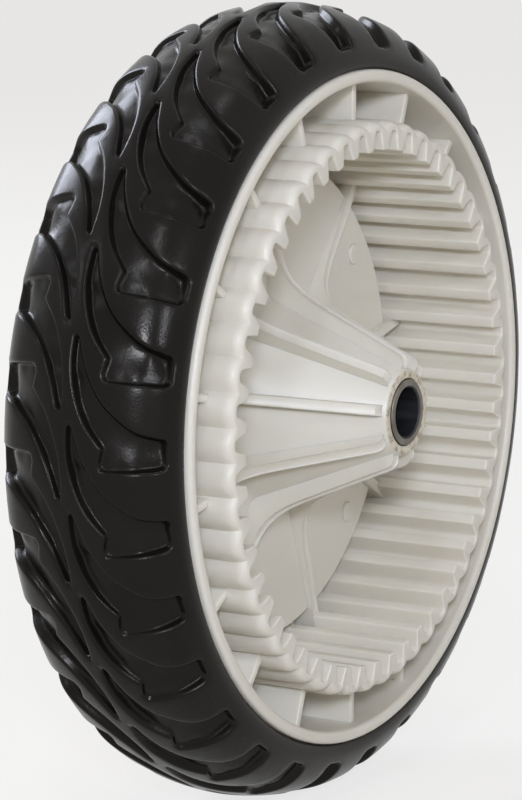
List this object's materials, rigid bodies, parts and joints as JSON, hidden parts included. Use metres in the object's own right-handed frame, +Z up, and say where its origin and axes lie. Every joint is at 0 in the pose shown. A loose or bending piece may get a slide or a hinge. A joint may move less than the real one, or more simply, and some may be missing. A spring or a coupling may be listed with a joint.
{
  "type": "lawn mower drive wheel",
  "caption": "Lawn mower drive wheel: black treaded tyre on a white moulded rim with an inner ring gear, finned hub cone and steel axle bush.",
  "frame": {"origin": "centre of the wheel, on the axle's axis, in the middle of the tyre's width", "axes": "+Z up, Y along the axle with the gear side towards -Y, +X to the right seen from the gear side"},
  "size_m": [0.203, 0.062, 0.203],
  "materials": {
    "tyre": "satin",
    "white_plastic": "satin",
    "steel": "satin"
  },
  "bodies": {
    "root": {"tyre": "tyre", "geared_rim": "white_plastic", "axle_bush": "steel"}
  },
  "joints": []
}
